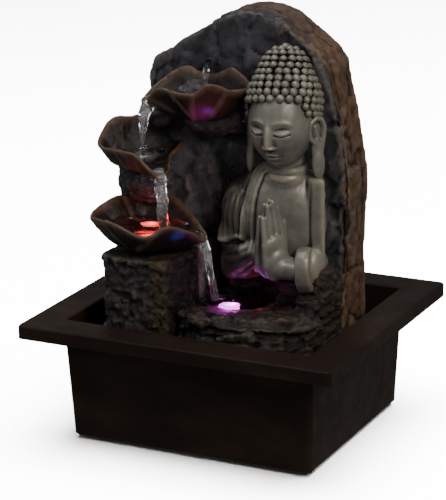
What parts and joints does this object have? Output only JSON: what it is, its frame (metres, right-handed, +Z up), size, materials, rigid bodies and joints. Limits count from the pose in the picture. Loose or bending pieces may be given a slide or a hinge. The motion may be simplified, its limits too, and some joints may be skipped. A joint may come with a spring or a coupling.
{
  "type": "tabletop water fountain",
  "caption": "Tabletop water fountain: a rimmed basin holding a rock with pouring leaf bowls, a lit pool, a praying bust and a submersible pump.",
  "frame": {"origin": "centre of the footprint, on the surface it stands on", "axes": "front towards -Y, +X to the right seen from the front, +Z up"},
  "size_m": [0.21, 0.185, 0.2624],
  "materials": {
    "basin_plastic": "satin black-brown moulded plastic",
    "rock_resin": "cast resin painted as dark slate with rusty brown edges",
    "leaf_resin": "cast resin, dark brown with lighter lips, half gloss where wet",
    "pewter_resin": "cast resin painted as antique pewter, dark in the creases",
    "rubber": "matt black",
    "pump_plastic": "black moulded plastic",
    "hose_vinyl": "clear soft vinyl",
    "light_lens": "clear domed lens, lit",
    "ceramic": "ground white ceramic",
    "ferrite": "dark grey sintered ferrite",
    "copper": "lacquered copper winding",
    "steel": "stainless"
  },
  "bodies": {
    "basin": {"basin": "basin_plastic", "foot_front_left": "rubber", "foot_front_right": "rubber", "foot_rear_left": "rubber", "foot_rear_right": "rubber", "cable_grommet": "rubber", "pump_housing": "pump_plastic", "pump_back_cap": "pump_plastic", "pump_stator": "copper", "impeller_shaft": "ceramic", "suction_cup_1": "rubber", "suction_cup_2": "rubber", "suction_cup_3": "rubber", "suction_cup_4": "rubber"},
    "impeller": {"pump_impeller": "pump_plastic", "rotor_magnet": "ferrite"},
    "intake_cover": {"intake_cover": "pump_plastic"},
    "flow_regulator": {"flow_regulator": "pump_plastic"},
    "sculpture": {"rock_backdrop": "rock_resin", "pool_base": "rock_resin", "pedestal_rock": "rock_resin", "pedestal_cap": "rock_resin", "small_rock": "rock_resin", "upper_leaf_bowl": "leaf_resin", "middle_leaf_bowl": "leaf_resin", "lower_leaf_bowl": "leaf_resin", "bust_robe": "pewter_resin", "figure_head": "pewter_resin", "hair_cap": "pewter_resin", "left_hand": "pewter_resin", "right_hand": "pewter_resin", "right_cuff": "pewter_resin", "upper_light_capsule": "pump_plastic", "upper_light_lens": "light_lens", "lower_light_capsule": "pump_plastic", "lower_light_lens": "light_lens", "pool_light_capsule": "pump_plastic", "pool_light_lens": "light_lens", "supply_tube": "hose_vinyl", "tube_outlet": "pump_plastic"},
    "rear_cover": {"rear_access_cover": "rock_resin", "cover_screw_1": "steel", "cover_screw_2": "steel", "cover_screw_3": "steel", "cover_screw_4": "steel"}
  },
  "joints": [
    {"name": "impeller_spin", "type": "hinge", "parent": "basin", "child": "impeller", "pos_m": [0.026, -0.027, 0.0235], "axis": [0, -1, 0], "continuous": true},
    {"name": "intake_cover_slide", "type": "slide", "parent": "basin", "child": "intake_cover", "axis": [0, -1, 0], "range_m": [0, 0.008]},
    {"name": "flow_regulator_turn", "type": "hinge", "parent": "intake_cover", "child": "flow_regulator", "pos_m": [0.026, -0.033, 0.0235], "axis": [0, -1, 0], "range_deg": [0, 90]},
    {"name": "sculpture_lift", "type": "slide", "parent": "basin", "child": "sculpture", "axis": [0, 0, 1], "range_m": [0, 0.09]},
    {"name": "rear_cover_slide", "type": "slide", "parent": "sculpture", "child": "rear_cover", "axis": [0, 1, 0], "range_m": [0, 0.04]}
  ]
}
